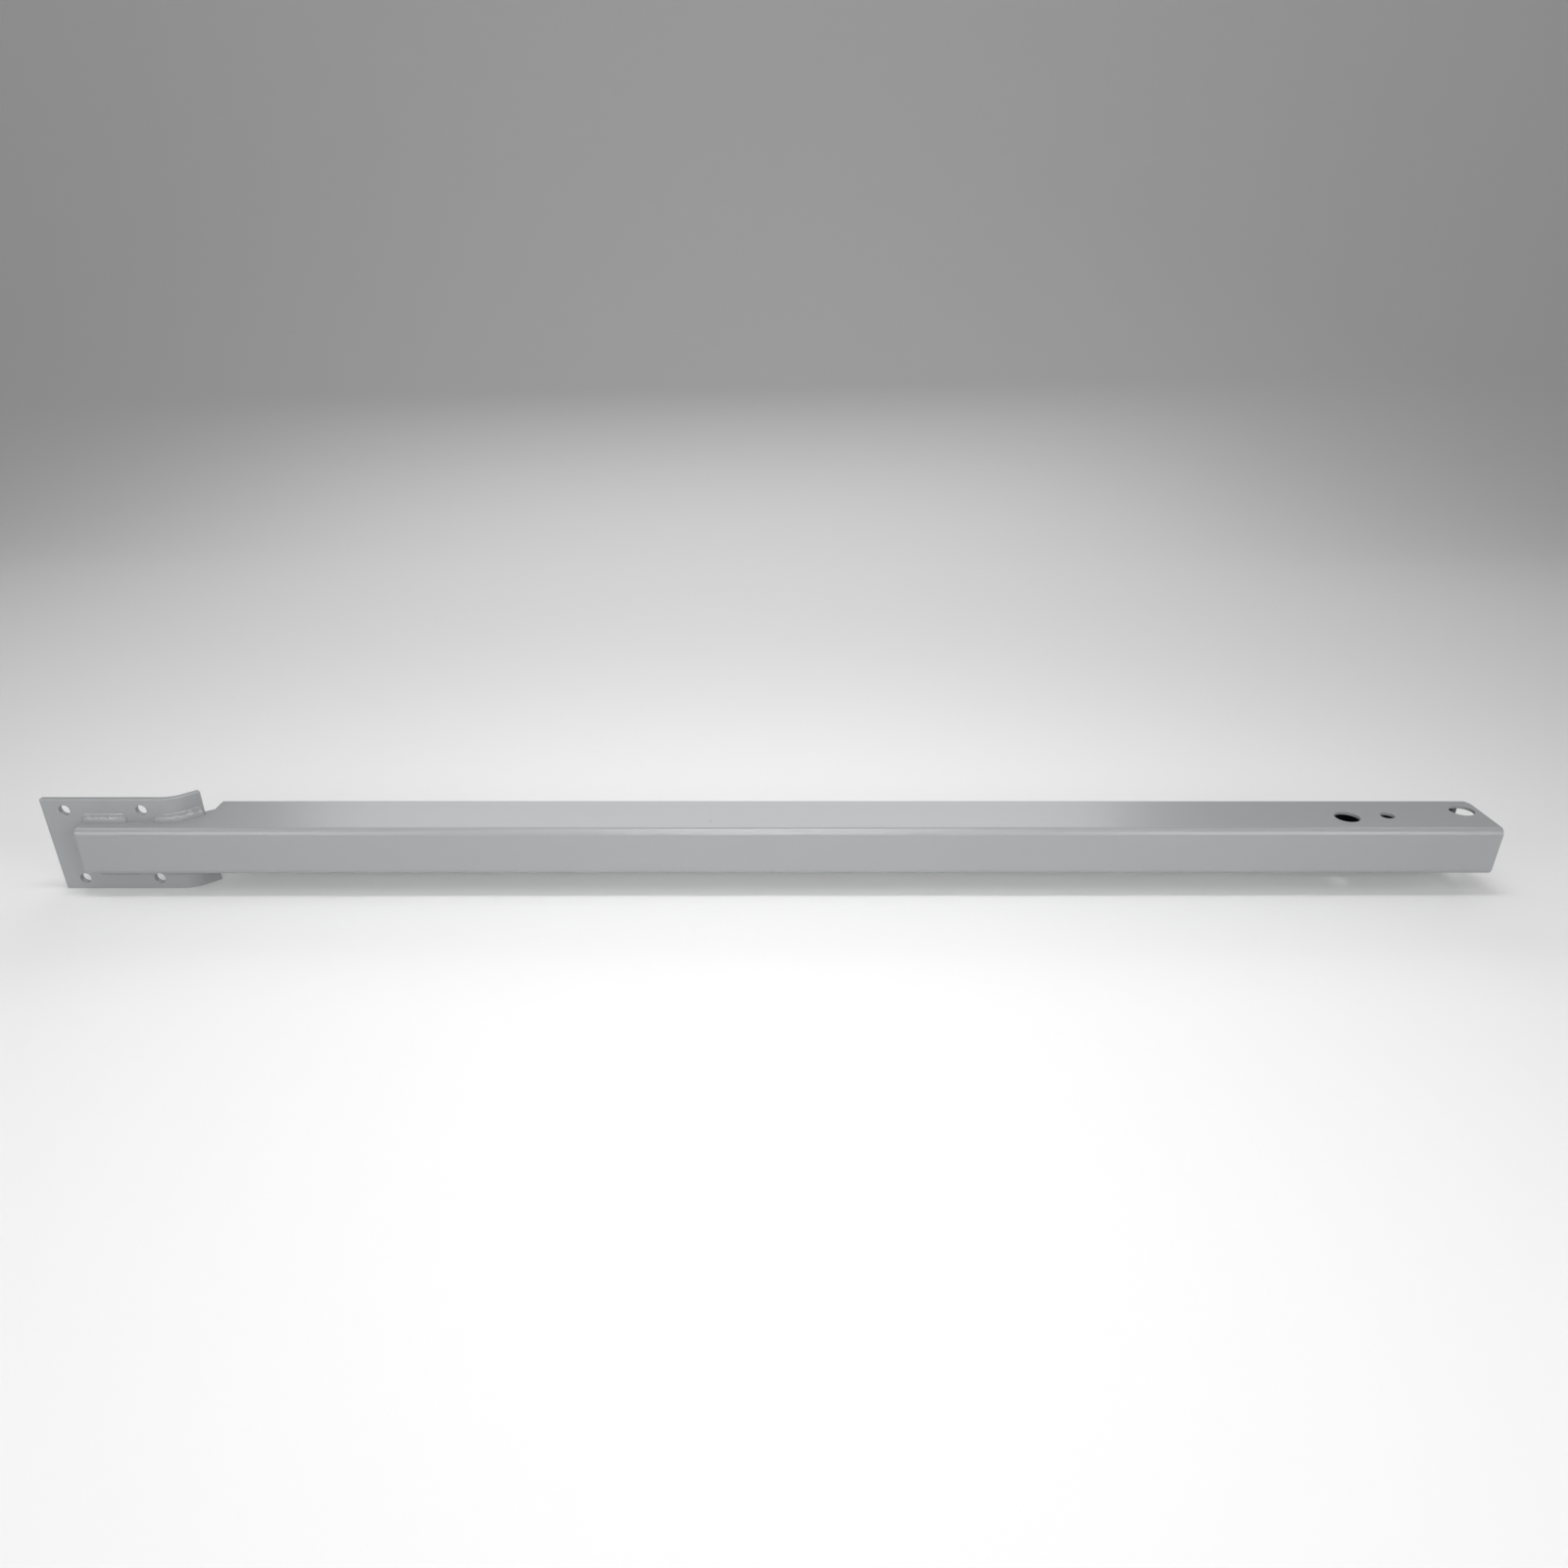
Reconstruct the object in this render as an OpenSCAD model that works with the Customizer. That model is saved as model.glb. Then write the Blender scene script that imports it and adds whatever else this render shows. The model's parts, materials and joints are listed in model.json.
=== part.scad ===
// Ladder-rack arm: a rectangular steel tube with a cranked four-bolt foot plate
// welded into a cut-away at one end and three cross holes at the free end.
//
// Frame: the origin is the centre of the foot's bolt pattern, on the face that is
// bolted down. +X runs along the tube to its free end, +Y points out of the bolted
// face and +Z is up. Lengths are in millimetres and angles in degrees.

/* [Beam] */
// Length of the tube
beam_len = 1422.4; // [1200:1:1800]
// Depth of the tube, front to back
beam_depth = 76.2; // [70:0.1:100]
// Height of the tube
beam_h = 50.8; // [40:0.1:64]
// Wall thickness of the tube
wall = 3.05; // [2:0.05:5]
// Outside radius of the tube's four long corners
corner_r = 7; // [6:0.1:12]
// Radius of the free end's rear corner, seen from above
end_round_r = 16; // [8:1:24]
// How far the tube runs past the bolt pattern's centre at the foot end
beam_tail = 23.2; // [20:0.1:27]

/* [Foot plate] */
// Height of the plate
plate_h = 100; // [96:0.1:140]
// Thickness of the plate
plate_t = 6.35; // [5:0.05:10]
// From the tube's front face back to the plate's front face
plate_setback = 19.05; // [12:0.05:28]
// From the bolt pattern's centre to the plate's outer edge
plate_reach = 60; // [50:0.5:90]
// From the bolt pattern's centre to the sharp corner of the crank, on the front face
crank_x = 70.6; // [68:0.1:90]
// Angle that the plate turns back at the crank
crank_angle = 45; // [30:1:55]
// Bend radius of the crank on the plate's front face
crank_r = 28.6; // [20:0.1:34]
// Length of the cranked end from the sharp corner, on the front face
crank_leg = 28.8; // [24:0.1:38]

/* [Foot bolts] */
// Spacing of the bolt holes along the beam
bolt_dx = 76.2; // [66:0.1:84]
// Spacing of the bolt holes up the plate
bolt_dz = 76.2; // [72:0.1:84]
// Diameter of the bolt holes
bolt_d = 11.1; // [8:0.1:14]

/* [Cut-away] */
// From the cranked plate's end to the notch that starts the full-depth tube
notch_gap = 9.3; // [4:0.1:25]
// Slope of the short ledge between the plate's end and the notch
ledge_angle = 35; // [20:1:45]
// Radius of the notch's outer corner, seen from above
notch_r = 6; // [2:0.5:10]

/* [Cross holes] */
// Diameter of the two large cross holes
large_d = 25; // [20:0.5:28]
// Diameter of the small cross hole
small_d = 14.5; // [8:0.5:18]
// Inner large hole: distance from the free end
inner_from_end = 144.2; // [130:0.1:200]
// Inner large hole: distance from the tube's front face
inner_from_front = 31.3; // [22:0.1:50]
// Small hole: distance from the free end
small_from_end = 101.6; // [60:0.1:115]
// Small hole: distance from the tube's front face
small_from_front = 34.8; // [20:0.1:55]
// Outer large hole: distance from the free end
outer_from_end = 18.4; // [16:0.1:40]
// Outer large hole: distance from the tube's front face
outer_from_front = 47.1; // [22:0.1:52]

/* [Welds] */
// Height of a weld bead up the plate
bead_h = 10; // [5:0.5:12]
// Width of a weld bead across the tube's wall
bead_w = 3.2; // [2:0.1:6]
// How far the bead's face bulges past a straight fillet
bead_bulge = 0.9; // [0.3:0.1:2]
// Length of the bead at the foot end
end_bead_len = 45; // [30:1:55]
// From the tube's foot end to the start of the bead round the crank
bend_bead_start = 71; // [68:0.5:80]

/* [Hidden] */

$fn = 96;
paint = "silver";
weld_paint = "gainsboro";
past = 5;

beam_x0 = -beam_tail;
beam_x1 = beam_x0 + beam_len;
beam_y0 = -plate_t - plate_setback;
beam_y1 = beam_y0 + beam_depth;
beam_z1 = beam_h / 2;

// The crank, seen from above: both faces bend about the same centre
front_y = -plate_t;
crank_tangent = crank_r * tan(crank_angle / 2);
crank_centre = [crank_x - crank_tangent, front_y + crank_r];
arc_steps = 15;

// The plate's end corners: front face and rear face
end_front = [crank_x + crank_leg * cos(crank_angle), front_y + crank_leg * sin(crank_angle)];
end_rear = end_front + plate_t * [-sin(crank_angle), cos(crank_angle)];

// The notch: the ledge runs out from the plate's rear corner to this point
ledge = [end_rear.x + notch_gap, end_rear.y + notch_gap * tan(ledge_angle)];

// A weld's face is an arc through both toes that rises bead_bulge above them
bead_chord = norm([bead_w, bead_h]);
bead_r = bead_chord * bead_chord / (8 * bead_bulge) + bead_bulge / 2;
bead_mid = [bead_w / 2, bead_h / 2];
bead_centre = bead_mid - (bead_r - bead_bulge) * [bead_h, bead_w] / bead_chord;
bead_half_angle = asin(bead_chord / (2 * bead_r));
bead_tilt = atan2(bead_w, bead_h);
bead_steps = 8;

// The unit vector out of the plate's front face, where the plate has turned by a
function outward(a) = [sin(a), -cos(a)];

// The crank's curve at radius r, from the flat stretch to the cranked end
function crank_arc(r) = [for (i = [0 : arc_steps]) crank_centre + r * outward(i * crank_angle / arc_steps)];

// The notch's outer corner, from the notch's wall round to the tube's rear face
function notch_arc() = [
    for (i = [0 : arc_steps])
        let (a = 180 - 90 * i / arc_steps)
            [ledge.x + notch_r, beam_y1 - notch_r] + notch_r * [cos(a), sin(a)]
];

function reversed(list) = [for (i = [len(list) - 1 : -1 : 0]) list[i]];

// A weld's section: X runs out from the plate and Y up it
function bead_outline() = concat([[0, 0]], [
    for (i = [-bead_steps : bead_steps])
        let (a = bead_tilt + i * bead_half_angle / bead_steps)
            bead_centre + bead_r * [cos(a), sin(a)]
]);

// A rectangle with round corners, centred on the origin
module rounded_rect(w, h, r) {
    square([w - 2 * r, h], center = true);
    square([w, h - 2 * r], center = true);
    for (x = [-1, 1], y = [-1, 1])
        translate([x * (w / 2 - r), y * (h / 2 - r)])
            circle(r);
}

// Turns a section drawn in Y and Z into a bar along +X
module along_x(len) {
    rotate([90, 0, 90])
        linear_extrude(len)
            children();
}

// What a rounded corner takes off: the square at the origin's first quadrant less its circle
module corner_waste(r) {
    difference() {
        square(r + past);
        circle(r);
    }
}

// Everything behind the plate's front face, from the foot end to the notch
module cutaway_plan() {
    polygon(concat(
        [[beam_x0 - past, front_y]],
        crank_arc(crank_r),
        [end_front, end_rear, ledge],
        notch_arc(),
        [[ledge.x + notch_r, beam_y1 + past], [beam_x0 - past, beam_y1 + past]]
    ));
}

// The tube seen from above, with its shaped ends
module beam_plan() {
    difference() {
        translate([beam_x0, beam_y0])
            square([beam_len, beam_depth]);
        cutaway_plan();
        translate([beam_x1 - end_round_r, beam_y1 - end_round_r])
            corner_waste(end_round_r);
    }
}

module tube_section() {
    difference() {
        rounded_rect(beam_depth, beam_h, corner_r);
        rounded_rect(beam_depth - 2 * wall, beam_h - 2 * wall, corner_r - wall);
    }
}

// A vertical hole through both walls of the tube
module cross_hole(from_end, from_front, d) {
    translate([beam_x1 - from_end, beam_y0 + from_front, 0])
        cylinder(h = beam_h + 2 * past, d = d, center = true);
}

module beam() {
    color(paint)
        difference() {
            intersection() {
                translate([beam_x0, (beam_y0 + beam_y1) / 2, 0])
                    along_x(beam_len)
                        tube_section();
                translate([0, 0, -beam_z1 - past])
                    linear_extrude(beam_h + 2 * past)
                        beam_plan();
            }
            cross_hole(inner_from_end, inner_from_front, large_d);
            cross_hole(small_from_end, small_from_front, small_d);
            cross_hole(outer_from_end, outer_from_front, large_d);
        }
}

// The plate seen from above: flat stretch, crank and cranked end
module plate_plan() {
    polygon(concat(
        [[-plate_reach, front_y]],
        crank_arc(crank_r),
        [end_front, end_rear],
        reversed(crank_arc(crank_r - plate_t)),
        [[-plate_reach, 0]]
    ));
}

module foot_plate() {
    color(paint)
        difference() {
            linear_extrude(plate_h, center = true)
                plate_plan();
            for (x = [-1, 1], z = [-1, 1])
                translate([x * bolt_dx / 2, 0, z * bolt_dz / 2])
                    rotate([90, 0, 0])
                        cylinder(h = 2 * plate_t + past, d = bolt_d, center = true);
        }
}

// The straight weld at the foot end
module weld_end() {
    translate([beam_x0, front_y, beam_z1])
        mirror([0, 1, 0])
            along_x(end_bead_len)
                polygon(bead_outline());
}

// The weld that follows the plate's front face round the crank to its end
module weld_bend() {
    path = concat([[beam_x0 + bend_bead_start, front_y]], crank_arc(crank_r), [end_front]);
    turns = concat([0], [for (i = [0 : arc_steps]) i * crank_angle / arc_steps], [crank_angle]);
    section = bead_outline();
    n = len(section);
    last = len(path) - 1;
    points = [
        for (i = [0 : last], s = section)
            concat(path[i] + s.x * outward(turns[i]), [beam_z1 + s.y])
    ];
    sides = [
        for (i = [0 : last - 1], k = [0 : n - 1])
            let (next = (k + 1) % n)
                [i * n + k, i * n + next, (i + 1) * n + next, (i + 1) * n + k]
    ];
    start_cap = [for (k = [n - 1 : -1 : 0]) k];
    end_cap = [for (k = [0 : n - 1]) last * n + k];
    polyhedron(points, concat([start_cap], sides, [end_cap]));
}

module weld_upper_end() {
    color(weld_paint)
        weld_end();
}

module weld_upper_bend() {
    color(weld_paint)
        weld_bend();
}

module weld_lower_end() {
    color(weld_paint)
        mirror([0, 0, 1])
            weld_end();
}

module weld_lower_bend() {
    color(weld_paint)
        mirror([0, 0, 1])
            weld_bend();
}

beam();
foot_plate();
weld_upper_end();
weld_upper_bend();
weld_lower_end();
weld_lower_bend();
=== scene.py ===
import json
import math

import bmesh
import bpy
from mathutils import Matrix, Vector, noise


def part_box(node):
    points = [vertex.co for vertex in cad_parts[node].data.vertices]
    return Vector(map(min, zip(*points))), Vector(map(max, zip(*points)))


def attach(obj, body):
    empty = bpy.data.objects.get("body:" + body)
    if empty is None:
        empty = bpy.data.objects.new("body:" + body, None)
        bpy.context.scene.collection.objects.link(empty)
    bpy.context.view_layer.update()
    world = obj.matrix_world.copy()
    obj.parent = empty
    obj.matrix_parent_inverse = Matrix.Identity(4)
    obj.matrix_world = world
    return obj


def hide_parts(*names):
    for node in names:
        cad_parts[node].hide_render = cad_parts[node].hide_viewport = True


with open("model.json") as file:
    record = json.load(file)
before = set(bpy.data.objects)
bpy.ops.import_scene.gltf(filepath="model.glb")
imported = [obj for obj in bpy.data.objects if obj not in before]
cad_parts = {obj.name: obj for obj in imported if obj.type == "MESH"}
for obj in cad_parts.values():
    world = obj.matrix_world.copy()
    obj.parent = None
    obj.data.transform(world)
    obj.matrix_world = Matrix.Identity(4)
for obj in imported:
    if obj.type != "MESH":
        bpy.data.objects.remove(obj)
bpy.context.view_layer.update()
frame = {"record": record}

# Ladder-rack arm: one rectangular tube, a cranked foot plate and four weld beads, all under
# one silver-grey coat. Everything is in metres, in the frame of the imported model: +X along the
# tube, +Y out of the bolted face, +Z up.

MM = 0.001
MOUNTS = {m["name"]: m for m in frame["record"]["mounts"]}

# ---------------------------------------------------------------- sizes

BEAM_LO, BEAM_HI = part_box("beam")
PLATE_LO, PLATE_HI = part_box("foot_plate")

WALL = 3.05 * MM
CORNER_R = 7.0 * MM
END_ROUND_R = 16.0 * MM
NOTCH_R = 6.0 * MM
NOTCH_GAP = 9.3 * MM
LEDGE_ANGLE = math.radians(35)

PLATE_T = 6.35 * MM
CRANK_ANGLE = math.radians(45)
CRANK_R = 28.6 * MM

FRONT_Y = -PLATE_T
END_REAR = Vector((PLATE_HI.x - PLATE_T * math.sin(CRANK_ANGLE), PLATE_HI.y))
END_FRONT = Vector((PLATE_HI.x, PLATE_HI.y - PLATE_T * math.cos(CRANK_ANGLE)))
CRANK_X = END_FRONT.x - (END_FRONT.y - FRONT_Y) / math.tan(CRANK_ANGLE)
CRANK_TANGENT = CRANK_R * math.tan(CRANK_ANGLE / 2)
ARC_X = CRANK_X - CRANK_TANGENT
LEDGE = END_REAR + NOTCH_GAP * Vector((1, math.tan(LEDGE_ANGLE)))

BEAD_H = 10.0 * MM
BEAD_W = 3.2 * MM
BEAD_EASE = 4.5 * MM
LONG_EASE = 12.0 * MM
RUN_SPLIT = 0.6
BEAD_FACE_STEPS = 30
BEAD_PITCH = 0.5 * MM
BEAD_ROOT = 0.8 * MM
LOWER_BEAD_SCALE = 0.86
LUMP_PITCH = 7.0 * MM
SWIRL_PITCH = 3.4 * MM
RIPPLE_PITCH = 5.4 * MM
END_BEAD = (BEAM_LO.x, BEAM_LO.x + 45.0 * MM)
BEND_BEAD_START = BEAM_LO.x + 71.0 * MM

EDGE_SOFT = 0.5 * MM
PLATE_SOFT = 0.7 * MM
RIM_SOFT = 0.35 * MM
PAST = 5.0 * MM


# ---------------------------------------------------------------- mesh helpers

def new_object(name, bm):
    """Puts a finished bmesh into a new object at the origin."""
    mesh = bpy.data.meshes.new(name)
    bm.to_mesh(mesh)
    bm.free()
    piece = bpy.data.objects.new(name, mesh)
    bpy.context.scene.collection.objects.link(piece)
    return piece


def bevel_edges(bm, edges, offset, segments):
    bmesh.ops.bevel(
        bm, geom=edges, offset=offset, segments=segments, profile=0.5,
        affect="EDGES", material=-1, clamp_overlap=True,
    )


def rounded_bar(lo, hi, radius, segments):
    """A block whose four edges along X are rounded."""
    bm = bmesh.new()
    bmesh.ops.create_cube(bm, size=1)
    bmesh.ops.scale(bm, vec=hi - lo, verts=bm.verts)
    bmesh.ops.translate(bm, vec=(lo + hi) / 2, verts=bm.verts)
    along = [e for e in bm.edges if abs(e.verts[0].co.x - e.verts[1].co.x) > PAST]
    bevel_edges(bm, along, radius, segments)
    return bm


def prism(outline, z_lo, z_hi):
    """An upright block on a plan outline."""
    bm = bmesh.new()
    base = [bm.verts.new((p[0], p[1], z_lo)) for p in outline]
    face = bm.faces.new(base)
    grown = bmesh.ops.extrude_face_region(bm, geom=[face])["geom"]
    top = [v for v in grown if isinstance(v, bmesh.types.BMVert)]
    bmesh.ops.translate(bm, vec=(0, 0, z_hi - z_lo), verts=top)
    bmesh.ops.recalc_face_normals(bm, faces=bm.faces)
    return bm


def round_upright(bm, x, y, radius, turn, segments):
    """Rounds the upright edge of a prism at (x, y), where its walls turn by the angle turn."""
    found = [
        e for e in bm.edges
        if all((v.co.xy - Vector((x, y))).length < 0.01 * MM for v in e.verts)
    ]
    bevel_edges(bm, found, radius * math.tan(turn / 2), segments)


def drill(hole, length):
    """A round cutter about a hole's axis: a hole is its centre, axis and radius."""
    centre, axis, radius = hole
    bm = bmesh.new()
    bmesh.ops.create_cone(
        bm, cap_ends=True, segments=72, radius1=radius, radius2=radius, depth=length,
        matrix=Matrix.Translation(centre) @ axis.to_track_quat("Z", "Y").to_matrix().to_4x4(),
    )
    return bm


def on_rim(vert, hole):
    centre, axis, radius = hole
    offset = vert.co - centre
    return abs((offset - offset.dot(axis) * axis).length - radius) < 0.04 * MM


def carve(piece, cutters):
    """Takes each cutter out of a piece."""
    tools = [new_object("cutter", bm) for bm in cutters]
    for tool in tools:
        cut = piece.modifiers.new("cut", "BOOLEAN")
        cut.operation = "DIFFERENCE"
        cut.solver = "EXACT"
        cut.object = tool
    graph = bpy.context.evaluated_depsgraph_get()
    carved = bpy.data.meshes.new_from_object(piece.evaluated_get(graph))
    piece.modifiers.clear()
    piece.data = carved
    for tool in tools:
        bpy.data.objects.remove(tool)


def soften(piece, holes, width, sharper_than):
    """Breaks the cut edges of a piece, as blasting and a thick coat do, and marks them."""
    bm = bmesh.new()
    bm.from_mesh(piece.data)
    bmesh.ops.remove_doubles(bm, verts=bm.verts, dist=0.02 * MM)
    bmesh.ops.dissolve_degenerate(bm, dist=0.02 * MM, edges=bm.edges)
    sharp = [e for e in bm.edges if len(e.link_faces) == 2 and e.calc_face_angle() > sharper_than]
    rims = [e for e in sharp if any(all(on_rim(v, hole) for v in e.verts) for hole in holes)]
    outer = list(set(sharp) - set(rims))
    mark = bm.faces.layers.float.new("cut_edge")
    for edges, offset in ((rims, RIM_SOFT), (outer, width)):
        if edges:
            made = bmesh.ops.bevel(
                bm, geom=edges, offset=offset, segments=3, profile=0.5,
                affect="EDGES", material=-1, clamp_overlap=True,
            )
            for face in made["faces"]:
                face[mark] = 1.0
    for face in bm.faces:
        face.smooth = True
    bm.to_mesh(piece.data)
    bm.free()
    weigh = piece.modifiers.new("flat_faces_stay_flat", "WEIGHTED_NORMAL")
    weigh.weight = 100
    weigh.keep_sharp = True


# ---------------------------------------------------------------- pieces

def make_beam():
    """The tube: hollow, cut away for the plate, rounded at two rear corners and drilled."""
    lo, hi = BEAM_LO.copy(), BEAM_HI.copy()
    inset = Vector((-PAST, WALL, WALL))
    beam = new_object("beam_tube", rounded_bar(lo, hi, CORNER_R, 14))
    bore = rounded_bar(lo + inset, hi - inset, CORNER_R - WALL, 10)

    z_lo, z_hi = lo.z - PAST, hi.z + PAST
    cutaway = prism([
        (lo.x - PAST, FRONT_Y),
        (CRANK_X, FRONT_Y),
        END_FRONT,
        END_REAR,
        LEDGE,
        (LEDGE.x, hi.y),
        (LEDGE.x, hi.y + PAST),
        (lo.x - PAST, hi.y + PAST),
    ], z_lo, z_hi)
    round_upright(cutaway, CRANK_X, FRONT_Y, CRANK_R, CRANK_ANGLE, 20)

    notch_centre = Vector((LEDGE.x + NOTCH_R, hi.y - NOTCH_R))
    notch_corner = corner_waste(notch_centre, NOTCH_R, -1, z_lo, z_hi)
    end_centre = Vector((hi.x - END_ROUND_R, hi.y - END_ROUND_R))
    end_corner = corner_waste(end_centre, END_ROUND_R, 1, z_lo, z_hi)
    holes = []
    for name in ("inner_cross_hole", "small_cross_hole", "outer_cross_hole"):
        mount = MOUNTS[name]
        holes.append((Vector(mount["pos_m"]), Vector(mount["axis"]), mount["dims"]["r_mm"] * MM))
    drills = [drill(hole, hi.z - lo.z + 2 * PAST) for hole in holes]
    carve(beam, [bore, cutaway, notch_corner, end_corner] + drills)
    soften(beam, holes, EDGE_SOFT, math.radians(40))
    return beam


def corner_waste(centre, radius, side, z_lo, z_hi):
    """What rounding a rear corner takes off: side is the way the corner points along X."""
    reach = radius + PAST
    outer = centre + reach * Vector((side, 1))
    bm = prism([
        (centre.x, centre.y + radius),
        (centre.x + side * radius, centre.y + radius),
        (centre.x + side * radius, centre.y),
        (outer.x, centre.y),
        outer,
        (centre.x, outer.y),
    ], z_lo, z_hi)
    round_upright(bm, centre.x + side * radius, centre.y + radius, radius, math.pi / 2, 16)
    return bm


def make_foot_plate():
    """The plate: a flat stretch, the crank and the cranked end, with four bolt holes."""
    rear_crank_x = CRANK_X - PLATE_T * math.tan(CRANK_ANGLE / 2)
    bm = prism([
        (PLATE_LO.x, FRONT_Y),
        (CRANK_X, FRONT_Y),
        END_FRONT,
        END_REAR,
        (rear_crank_x, 0),
        (PLATE_LO.x, 0),
    ], PLATE_LO.z, PLATE_HI.z)
    round_upright(bm, CRANK_X, FRONT_Y, CRANK_R, CRANK_ANGLE, 20)
    round_upright(bm, rear_crank_x, 0, CRANK_R - PLATE_T, CRANK_ANGLE, 20)
    plate = new_object("foot_plate_painted", bm)
    bolts = MOUNTS["foot_bolts"]
    half_x = bolts["dims"]["spacing_x_mm"] * MM / 2
    half_z = bolts["dims"]["spacing_y_mm"] * MM / 2
    radius = bolts["dims"]["hole_r_mm"] * MM
    holes = [
        (Vector((x, 0, z)), Vector(bolts["axis"]), radius)
        for x in (-half_x, half_x) for z in (-half_z, half_z)
    ]
    carve(plate, [drill(hole, 2 * PLATE_T + PAST) for hole in holes])
    soften(plate, holes, PLATE_SOFT, math.radians(40))
    return plate


def crank_point(along):
    """A point of the plate's front face, this far past the crank's start, and its outward way."""
    if along <= 0:
        return Vector((ARC_X + along, FRONT_Y)), Vector((0, -1))
    centre = Vector((ARC_X, FRONT_Y + CRANK_R))
    turn = min(along / CRANK_R, CRANK_ANGLE)
    outward = Vector((math.sin(turn), -math.cos(turn)))
    past_arc = along - turn * CRANK_R
    return centre + CRANK_R * outward + past_arc * Vector((math.cos(turn), math.sin(turn))), outward


def bead_section(t, along, seed):
    """A point of a weld's face, out from the plate and up it.

    t runs from the tube's toe to the plate's. Two runs lie one over the other: a full one in
    the corner and a thin one above it.
    """
    lump = noise.noise(Vector((along / LUMP_PITCH, 0.8 * t, seed)))
    lean = 0.8 * math.sin(math.pi * t)
    swirl = noise.noise(Vector((along / SWIRL_PITCH + lean, 2.2 * t, seed + 5.0)))
    bow = 0.45 * lump - 0.3 * math.cos(math.pi * t)
    ripple = math.sin(2 * math.pi * (along / RIPPLE_PITCH + bow))
    step = BEAD_H * (0.56 + 0.10 * lump)
    shelf = BEAD_W * (0.34 + 0.10 * swirl)
    swell = 1 + 0.14 * swirl + 0.04 * ripple
    if t < RUN_SPLIT:
        turn = t / RUN_SPLIT * math.pi / 2
        out = shelf + (0.90 * BEAD_W * (1 + 0.10 * lump) - shelf) * math.cos(turn) ** 0.8
        up = step * (1 + (swell - 1) * math.sin(turn)) * math.sin(turn)
    else:
        turn = (t - RUN_SPLIT) / (1 - RUN_SPLIT) * math.pi / 2
        out = shelf * math.cos(turn) ** 0.7 * (1 + (swell - 1) * math.sin(turn))
        low = step * swell
        up = low + (BEAD_H * (0.95 + 0.06 * swirl) - low) * math.sin(turn)
    return min(out, BEAD_W), min(up, BEAD_H)


def make_bead(name, start, stop, side, seed, ease_in, height):
    """A rippled weld along the plate's front face, from start to stop past the crank's start.

    Each ring is the weld's face and one corner; the face's two toes and the corner are
    buried in the tube and the plate.
    """
    steps = round((stop - start) / BEAD_PITCH)
    bm = bmesh.new()
    ring = bmesh.ops.create_circle(bm, segments=BEAD_FACE_STEPS + 2, radius=BEAD_W)["verts"]
    loop = list(bm.edges)
    rings = [ring]
    for _ in range(steps):
        grown = bmesh.ops.extrude_edge_only(bm, edges=loop)["geom"]
        loop = [e for e in grown if isinstance(e, bmesh.types.BMEdge) and e.is_boundary]
        links = {}
        for e in bm.edges:
            for a, b in (e.verts, reversed(e.verts)):
                links.setdefault(a, []).append(b)
        fresh = {v for v in grown if isinstance(v, bmesh.types.BMVert)}
        ring = [next(o for o in links[v] if o in fresh) for v in ring]
        rings.append(ring)
    for i, verts in enumerate(rings):
        along = start + (stop - start) * i / steps
        from_start, from_stop = i * BEAD_PITCH, (steps - i) * BEAD_PITCH
        short_of_full = max(0.0, 1 - from_start / ease_in, 1 - from_stop / BEAD_EASE)
        dome = math.sqrt(1 - short_of_full ** 2) * 0.92 + 0.08
        point, outward = crank_point(along)
        for k, v in enumerate(verts):
            out, up = -BEAD_ROOT, -BEAD_ROOT
            if k <= BEAD_FACE_STEPS:
                face_out, face_up = bead_section(k / BEAD_FACE_STEPS, along, seed)
                if k < BEAD_FACE_STEPS:
                    out = face_out * dome
                if k > 0:
                    up = face_up * dome * height
            spot = point + out * outward
            v.co = (spot.x, spot.y, side * (BEAM_HI.z + up))
    bmesh.ops.contextual_create(bm, geom=rings[0])
    bmesh.ops.contextual_create(bm, geom=rings[-1])
    bmesh.ops.recalc_face_normals(bm, faces=bm.faces)
    for face in bm.faces:
        face.smooth = True
    return new_object(name, bm)


# ---------------------------------------------------------------- finishes

PAINT_TONE = (0.296, 0.304, 0.311, 1)
# Paler tone for cut edges: partly a thinner coat there, partly a painted highlight of their bright
# rims.
EDGE_TONE_AND_HIGHLIGHT = (0.40, 0.41, 0.42, 1)
# Near-black steel inside the tube: partly its own dark mill scale, partly painted shade of the
# closed tube's inside.
STEEL_AND_SHADE_TONE = (0.020, 0.021, 0.023, 1)
SCALE_TONE = (0.045, 0.030, 0.022, 1)

PIT_AT = Vector((606.0, -4.9, BEAM_HI.z / MM)) * MM
PIT_R = 1.6 * MM

# How far the coat is blown into the open ends, along X from the outside in
FREE_END_SPRAY = (BEAM_HI.x, BEAM_HI.x - 16.0 * MM)
FOOT_END_SPRAY = (LEDGE.x, LEDGE.x + 40.0 * MM)


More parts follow.
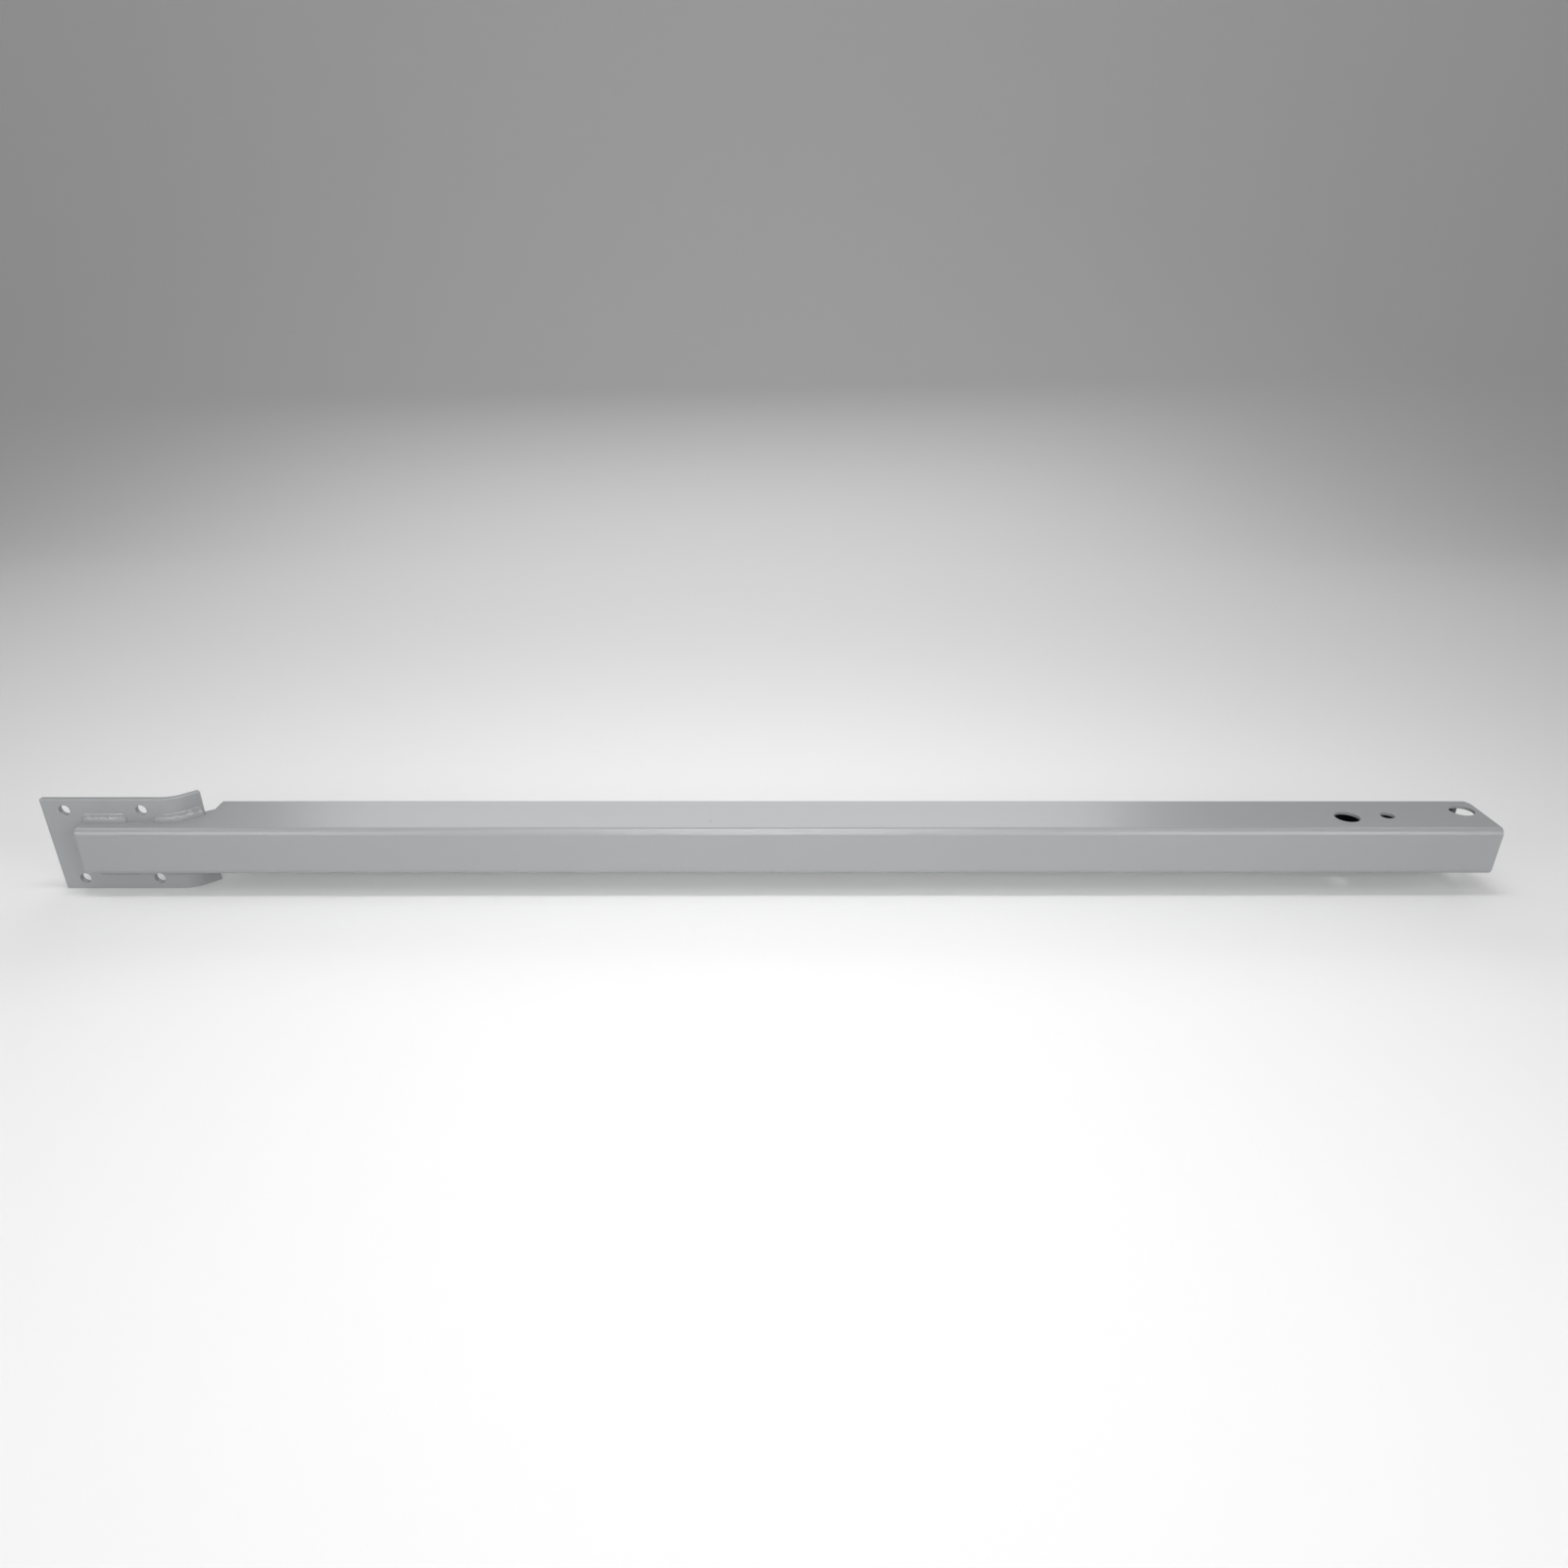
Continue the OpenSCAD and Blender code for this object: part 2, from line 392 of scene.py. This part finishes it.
class Network:
    """Builds a node tree: each call adds a node and wires the values or sockets given to it.

    A socket is given by its name, or as i0, i1 and so on by its place.
    """

    def __init__(self, tree):
        self.nodes, self.links = tree.nodes, tree.links

    def add(self, kind, settings=None, **sockets):
        node = self.nodes.new(kind)
        for key, value in (settings or {}).items():
            setattr(node, key, value)
        for key, value in sockets.items():
            place = key[1:]
            socket = node.inputs[int(place) if place.isdigit() else key.replace("_", " ")]
            if isinstance(value, bpy.types.NodeSocket):
                self.links.new(value, socket)
            else:
                socket.default_value = value
        return node

    def math(self, operation, *values):
        sockets = {"i%d" % i: value for i, value in enumerate(values)}
        return self.add("ShaderNodeMath", {"operation": operation}, **sockets).outputs[0]

    def noise(self, place, scale, detail, roughness=0.55):
        sockets = {"Vector": place, "Scale": scale, "Detail": detail, "Roughness": roughness}
        return self.add("ShaderNodeTexNoise", **sockets).outputs["Fac"]

    def ramp(self, value, low, high):
        """0 at low, 1 at high, smooth between."""
        node = self.add("ShaderNodeMapRange", {"interpolation_type": "SMOOTHSTEP"}, Value=value)
        node.inputs["From Min"].default_value = low
        node.inputs["From Max"].default_value = high
        return node.outputs["Result"]

    def blend(self, factor, first, second):
        node = self.add("ShaderNodeMix", {"data_type": "RGBA"}, i0=factor)
        for value, socket in ((first, node.inputs[6]), (second, node.inputs[7])):
            if isinstance(value, bpy.types.NodeSocket):
                self.links.new(value, socket)
            else:
                socket.default_value = value
        return node.outputs[2]


def shared_group(name, inputs, outputs, build):
    """A shader group made once: build wires it from its input sockets and returns the outputs."""
    group = bpy.data.node_groups.new(name, "ShaderNodeTree")
    for label, kind, value in inputs:
        socket = group.interface.new_socket(name=label, in_out="INPUT", socket_type=kind)
        socket.default_value = value
    for label, kind in outputs:
        group.interface.new_socket(name=label, in_out="OUTPUT", socket_type=kind)
    net = Network(group)
    given = net.add("NodeGroupInput").outputs
    out = net.add("NodeGroupOutput")
    for label, socket in build(net, given).items():
        net.links.new(socket, out.inputs[label])
    return group


def build_coat(net, given):
    """Powder coat: a mottled tone, thinner on cut edges and paler there partly as a painted
    highlight, over a fine orange peel.
    """
    place = net.add("ShaderNodeTexCoord").outputs["Object"]
    edge = net.add("ShaderNodeAttribute", {"attribute_name": "cut_edge"}).outputs["Fac"]
    clouds = net.noise(place, 7.0, 4.0)
    flecks = net.noise(place, 900.0, 2.0, 0.7)
    grime = net.noise(place, 38.0, 5.0, 0.65)
    drift = net.math("MULTIPLY", net.math("SUBTRACT", clouds, 0.5), given["Mottle"])
    speck = net.math("MULTIPLY", net.math("SUBTRACT", flecks, 0.5), 0.04)
    shade = net.math("ADD", net.math("ADD", drift, speck), 1.0)
    scaled = net.add("ShaderNodeVectorMath", {"operation": "SCALE"}, i0=given["Tone"], Scale=shade)
    # Cut edges turn paler: partly wear of a thinner coat, partly a painted highlight.
    worn_and_highlit = net.math("MULTIPLY", edge, net.ramp(grime, 0.30, 0.62))
    thinned_and_highlit = net.math("MULTIPLY", worn_and_highlit, 0.45)
    colour = net.blend(thinned_and_highlit, scaled.outputs["Vector"], given["Edge Tone And Highlight"])
    smear = net.math("MULTIPLY", net.math("SUBTRACT", grime, 0.5), 0.05)
    smeared = net.math("ADD", given["Roughness"], smear)
    rough = net.math("SUBTRACT", smeared, net.math("MULTIPLY", worn_and_highlit, 0.06))
    peel = net.noise(place, given["Peel Scale"], 2.0, 0.5)
    return {"Colour": colour, "Roughness": rough, "Height": peel}


def build_pit(net, given):
    """A small pit in the coat: 1 at its middle and 0 outside it."""
    place = net.add("ShaderNodeTexCoord").outputs["Object"]
    wobble = net.math("MULTIPLY", net.noise(place, 1400.0, 1.0), 0.9 * PIT_R)
    away = net.add("ShaderNodeVectorMath", {"operation": "DISTANCE"}, i0=place, i1=PIT_AT)
    ragged = net.math("ADD", away.outputs["Value"], wobble)
    return {"Mask": net.ramp(ragged, 1.5 * PIT_R, 0.5 * PIT_R)}


def build_steel_and_shade_inside(net, given):
    """Bare mill steel inside the tube, darkened towards black as painted shade, with the coat
    fading in at the open ends.
    """
    place = net.add("ShaderNodeTexCoord").outputs["Object"]
    along = net.add("ShaderNodeSeparateXYZ", Vector=place).outputs["X"]
    cloud = net.math("MULTIPLY", net.math("SUBTRACT", net.noise(place, 120.0, 4.0), 0.5), 14.0 * MM)
    ragged = net.math("ADD", along, cloud)
    free_end = net.ramp(ragged, FREE_END_SPRAY[1], FREE_END_SPRAY[0])
    foot_end = net.ramp(ragged, FOOT_END_SPRAY[1], FOOT_END_SPRAY[0])
    spray = net.math("MAXIMUM", free_end, foot_end)
    bloom = net.ramp(net.noise(place, 55.0, 6.0, 0.7), 0.55, 0.70)
    # The steel tone here is near-black: partly bare mill steel, partly painted shade.
    steel = net.blend(bloom, STEEL_AND_SHADE_TONE, SCALE_TONE)
    streaks = net.add("ShaderNodeMapping", Vector=place)
    streaks.inputs["Scale"].default_value = (12.0, 400.0, 400.0)
    drawn = net.noise(streaks.outputs["Vector"], 1.0, 3.0)
    rough = net.math("MULTIPLY_ADD", drawn, 0.25, 0.42)
    return {"Spray": spray, "Steel And Shade": steel, "Roughness": rough, "Height": drawn}


VALUE, COLOUR = "NodeSocketFloat", "NodeSocketColor"
COAT = shared_group(
    "powder_coat",
    [("Tone", COLOUR, PAINT_TONE), ("Edge Tone And Highlight", COLOUR, EDGE_TONE_AND_HIGHLIGHT), ("Mottle", VALUE, 0.06),
     ("Roughness", VALUE, 0.3), ("Peel Scale", VALUE, 420.0)],
    [("Colour", COLOUR), ("Roughness", VALUE), ("Height", VALUE)],
    build_coat,
)
PIT = shared_group("coat_pit", [], [("Mask", VALUE)], build_pit)
INSIDE_STEEL_AND_SHADE = shared_group(
    "tube_inside_steel_and_shade", [],
    [("Spray", VALUE), ("Steel And Shade", COLOUR), ("Roughness", VALUE), ("Height", VALUE)],
    build_steel_and_shade_inside,
)


def coated(name, roughness, peel_scale, peel_height, mottle):
    """A material of the powder coat over steel: returns it with its network, coat and shader."""
    material = bpy.data.materials.new(name)
    material.use_nodes = True
    net = Network(material.node_tree)
    shader = net.nodes["Principled BSDF"]
    coat = net.add("ShaderNodeGroup", {"node_tree": COAT})
    coat.inputs["Roughness"].default_value = roughness
    coat.inputs["Peel Scale"].default_value = peel_scale
    coat.inputs["Mottle"].default_value = mottle
    bump = net.add("ShaderNodeBump", Height=coat.outputs["Height"])
    bump.inputs["Distance"].default_value = peel_height
    net.links.new(coat.outputs["Colour"], shader.inputs["Base Color"])
    net.links.new(coat.outputs["Roughness"], shader.inputs["Roughness"])
    net.links.new(bump.outputs["Normal"], shader.inputs["Normal"])
    shader.inputs["IOR"].default_value = 1.55
    return material, net, coat, bump, shader


def coat_with_pit():
    """The tube's coat, with the pit sunk in its top face."""
    material, net, coat, bump, shader = coated(
        "silver_grey_coat_on_tube", roughness=0.30, peel_scale=420.0, peel_height=0.012 * MM,
        mottle=0.02,
    )
    pit = net.add("ShaderNodeGroup", {"node_tree": PIT}).outputs["Mask"]
    pitted = net.blend(net.math("MULTIPLY", pit, 0.75), coat.outputs["Colour"], SCALE_TONE)
    net.links.new(pitted, shader.inputs["Base Color"])
    sunk = net.math("SUBTRACT", coat.outputs["Height"], net.math("MULTIPLY", pit, 4.0))
    net.links.new(sunk, bump.inputs["Height"])
    return material


def steel_shade_and_overspray():
    """Bare steel, darkened towards black as painted shade, with the coat fading in towards both
    open ends.
    """
    material, net, coat, bump, shader = coated(
        "mill_steel_painted_shade_and_overspray", roughness=0.5, peel_scale=500.0, peel_height=0.03 * MM,
        mottle=0.2,
    )
    inside = net.add("ShaderNodeGroup", {"node_tree": INSIDE_STEEL_AND_SHADE}).outputs
    sprayed = net.blend(inside["Spray"], inside["Steel And Shade"], coat.outputs["Colour"])
    net.links.new(sprayed, shader.inputs["Base Color"])
    net.links.new(inside["Roughness"], shader.inputs["Roughness"])
    net.links.new(inside["Height"], bump.inputs["Height"])
    bare = net.math("SUBTRACT", 1.0, inside["Spray"])
    net.links.new(net.math("MULTIPLY", bare, 0.55), shader.inputs["Metallic"])
    return material


plate_paint = coated(
    "silver_grey_coat_on_plate", roughness=0.36, peel_scale=420.0, peel_height=0.014 * MM,
    mottle=0.03,
)[0]
weld_paint = coated(
    "silver_grey_coat_on_weld", roughness=0.15, peel_scale=650.0, peel_height=0.010 * MM,
    mottle=0.03,
)[0]
beam_paint = coat_with_pit()
tube_inside_steel_and_shade = steel_shade_and_overspray()


def give_inside_steel_and_shade(piece):
    """Gives the faces that look into the tube the bare steel, darkened as painted shade."""
    piece.data.materials.append(tube_inside_steel_and_shade)
    mid = (BEAM_LO + BEAM_HI) / 2
    half = (BEAM_HI - BEAM_LO) / 2
    for face in piece.data.polygons:
        c, n = face.center - mid, face.normal
        deep = abs(c.z) < half.z - WALL * 0.8 and abs(c.y) < half.y - WALL * 0.8
        faces_in = n.z * c.z + n.y * c.y < 0 and abs(n.x) < 0.5
        if deep and faces_in:
            face.material_index = 1


# ---------------------------------------------------------------- the arm

pieces = []
beam = make_beam()
beam.data.materials.clear()
beam.data.materials.append(beam_paint)
give_inside_steel_and_shade(beam)
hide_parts("beam")
pieces.append(beam)

plate = make_foot_plate()
plate.data.materials.clear()
plate.data.materials.append(plate_paint)
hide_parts("foot_plate")
pieces.append(plate)

end_start, end_stop = END_BEAD[0] - ARC_X, END_BEAD[1] - ARC_X
bend_start = BEND_BEAD_START - ARC_X
bend_stop = CRANK_R * CRANK_ANGLE + (END_FRONT - Vector((CRANK_X, FRONT_Y))).length - CRANK_TANGENT
for name, start, stop, side, seed, ease_in, height in (
    ("weld_upper_end", end_start, end_stop, 1, 2.0, BEAD_EASE, 1.0),
    ("weld_upper_bend", bend_start, bend_stop, 1, 7.0, LONG_EASE, 1.0),
    ("weld_lower_end", end_start, end_stop, -1, 12.0, BEAD_EASE, LOWER_BEAD_SCALE),
    ("weld_lower_bend", bend_start, bend_stop, -1, 19.0, LONG_EASE, LOWER_BEAD_SCALE),
):
    bead = make_bead(name + "_bead", start, stop, side, seed, ease_in, height)
    bead.data.materials.append(weld_paint)
    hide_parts(name)
    pieces.append(bead)

for piece in pieces:
    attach(piece, "root")


# ---------------------------------------------------------------- studio

FLOOR_Z = PLATE_LO.z
FLOOR_HALF = 6.0
WALL_Y = 3.2
WALL_H = 5.0
SWEEP_R = 1.6
BACKDROP_TONE = (0.80, 0.80, 0.80, 1)
STUDIO_GLOW = 0.26


def make_backdrop():
    """A pale floor that sweeps up into a wall behind."""
    bm = bmesh.new()
    bmesh.ops.create_grid(bm, x_segments=1, y_segments=1, size=1)
    bmesh.ops.scale(bm, vec=(FLOOR_HALF, (WALL_Y + FLOOR_HALF) / 2, 1), verts=bm.verts)
    bmesh.ops.translate(bm, vec=(0, (WALL_Y - FLOOR_HALF) / 2, FLOOR_Z), verts=bm.verts)
    far = [e for e in bm.edges if all(abs(v.co.y - WALL_Y) < MM for v in e.verts)]
    grown = bmesh.ops.extrude_edge_only(bm, edges=far)["geom"]
    lifted = [v for v in grown if isinstance(v, bmesh.types.BMVert)]
    bmesh.ops.translate(bm, vec=(0, 0, WALL_H), verts=lifted)
    fold = [e for e in bm.edges if len(e.link_faces) == 2]
    bevel_edges(bm, fold, SWEEP_R, 24)
    for face in bm.faces:
        face.smooth = True
    backdrop = new_object("backdrop", bm)
    material = bpy.data.materials.new("pale_floor")
    material.use_nodes = True
    shader = material.node_tree.nodes["Principled BSDF"]
    shader.inputs["Base Color"].default_value = BACKDROP_TONE
    shader.inputs["Roughness"].default_value = 0.9
    backdrop.data.materials.append(material)


def area_light(name, spot, look_at, width, height, power, spread=180):
    """A soft rectangular light; a spread under 180 degrees is a grid that narrows its pool."""
    light = bpy.data.lights.new(name, "AREA")
    light.spread = math.radians(spread)
    light.shape = "RECTANGLE"
    light.size = width
    light.size_y = height
    light.energy = power
    lamp = bpy.data.objects.new(name, light)
    lamp.location = spot
    lamp.rotation_euler = (Vector(look_at) - Vector(spot)).to_track_quat("-Z", "Y").to_euler()
    bpy.context.scene.collection.objects.link(lamp)


make_backdrop()
MIDDLE = (0.66, 0.0, 0.0)
area_light("overhead", (0.66, -0.12, 1.6), MIDDLE, 0.9, 0.3, 3.9, spread=110)
area_light("overhead_left", (-0.85, 0.35, 1.4), (0.0, 0.0, 0.0), 0.45, 0.4, 2.5)
area_light("front_left", (-0.60, -1.40, 0.72), (0.35, 0.0, 0.0), 0.9, 0.8, 9)
area_light("front_right", (1.88, -1.40, 0.72), (0.95, 0.0, 0.0), 1.0, 0.8, 10.5)
area_light("front_middle", (0.68, -1.75, 0.80), MIDDLE, 0.6, 0.5, 1.4, spread=66)
area_light("front_high", (0.66, -1.3, 1.9), MIDDLE, 0.8, 0.8, 2.0, spread=80)
area_light("rear_panel", (0.53, 2.0, 1.12), (0.6, 0.0, 0.0), 2.45, 0.7, 12)
area_light("rear_right", (2.45, 1.25, 1.55), (1.3, 0.0, 0.0), 0.6, 0.4, 2.5)

world = bpy.data.worlds.new("studio")
world.use_nodes = True
world.node_tree.nodes["Background"].inputs["Color"].default_value = (1, 1, 1, 1)
world.node_tree.nodes["Background"].inputs["Strength"].default_value = STUDIO_GLOW
bpy.context.scene.world = world
bpy.context.scene.view_settings.view_transform = "Standard"

# ---------------------------------------------------------------- camera

CAMERA_AT = Vector((657.6, -1049.0, 507.8)) * MM
CAMERA_PITCH = math.radians(28.507)
CAMERA_YAW = math.radians(-0.48)
CAMERA_ROLL = math.radians(0.198)
camera_data = bpy.data.cameras.new("camera")
camera_data.sensor_width = 36.0
camera_data.lens = 26.137
camera_data.shift_x = 0.0088
camera_data.shift_y = 0.0709
camera_data.clip_start = 0.01
camera = bpy.data.objects.new("camera", camera_data)
camera.matrix_world = (
    Matrix.Translation(CAMERA_AT)
    @ Matrix.Rotation(CAMERA_YAW, 4, "Z")
    @ Matrix.Rotation(math.pi / 2 - CAMERA_PITCH, 4, "X")
    @ Matrix.Rotation(CAMERA_ROLL, 4, "Z")
)
bpy.context.scene.collection.objects.link(camera)
bpy.context.scene.camera = camera
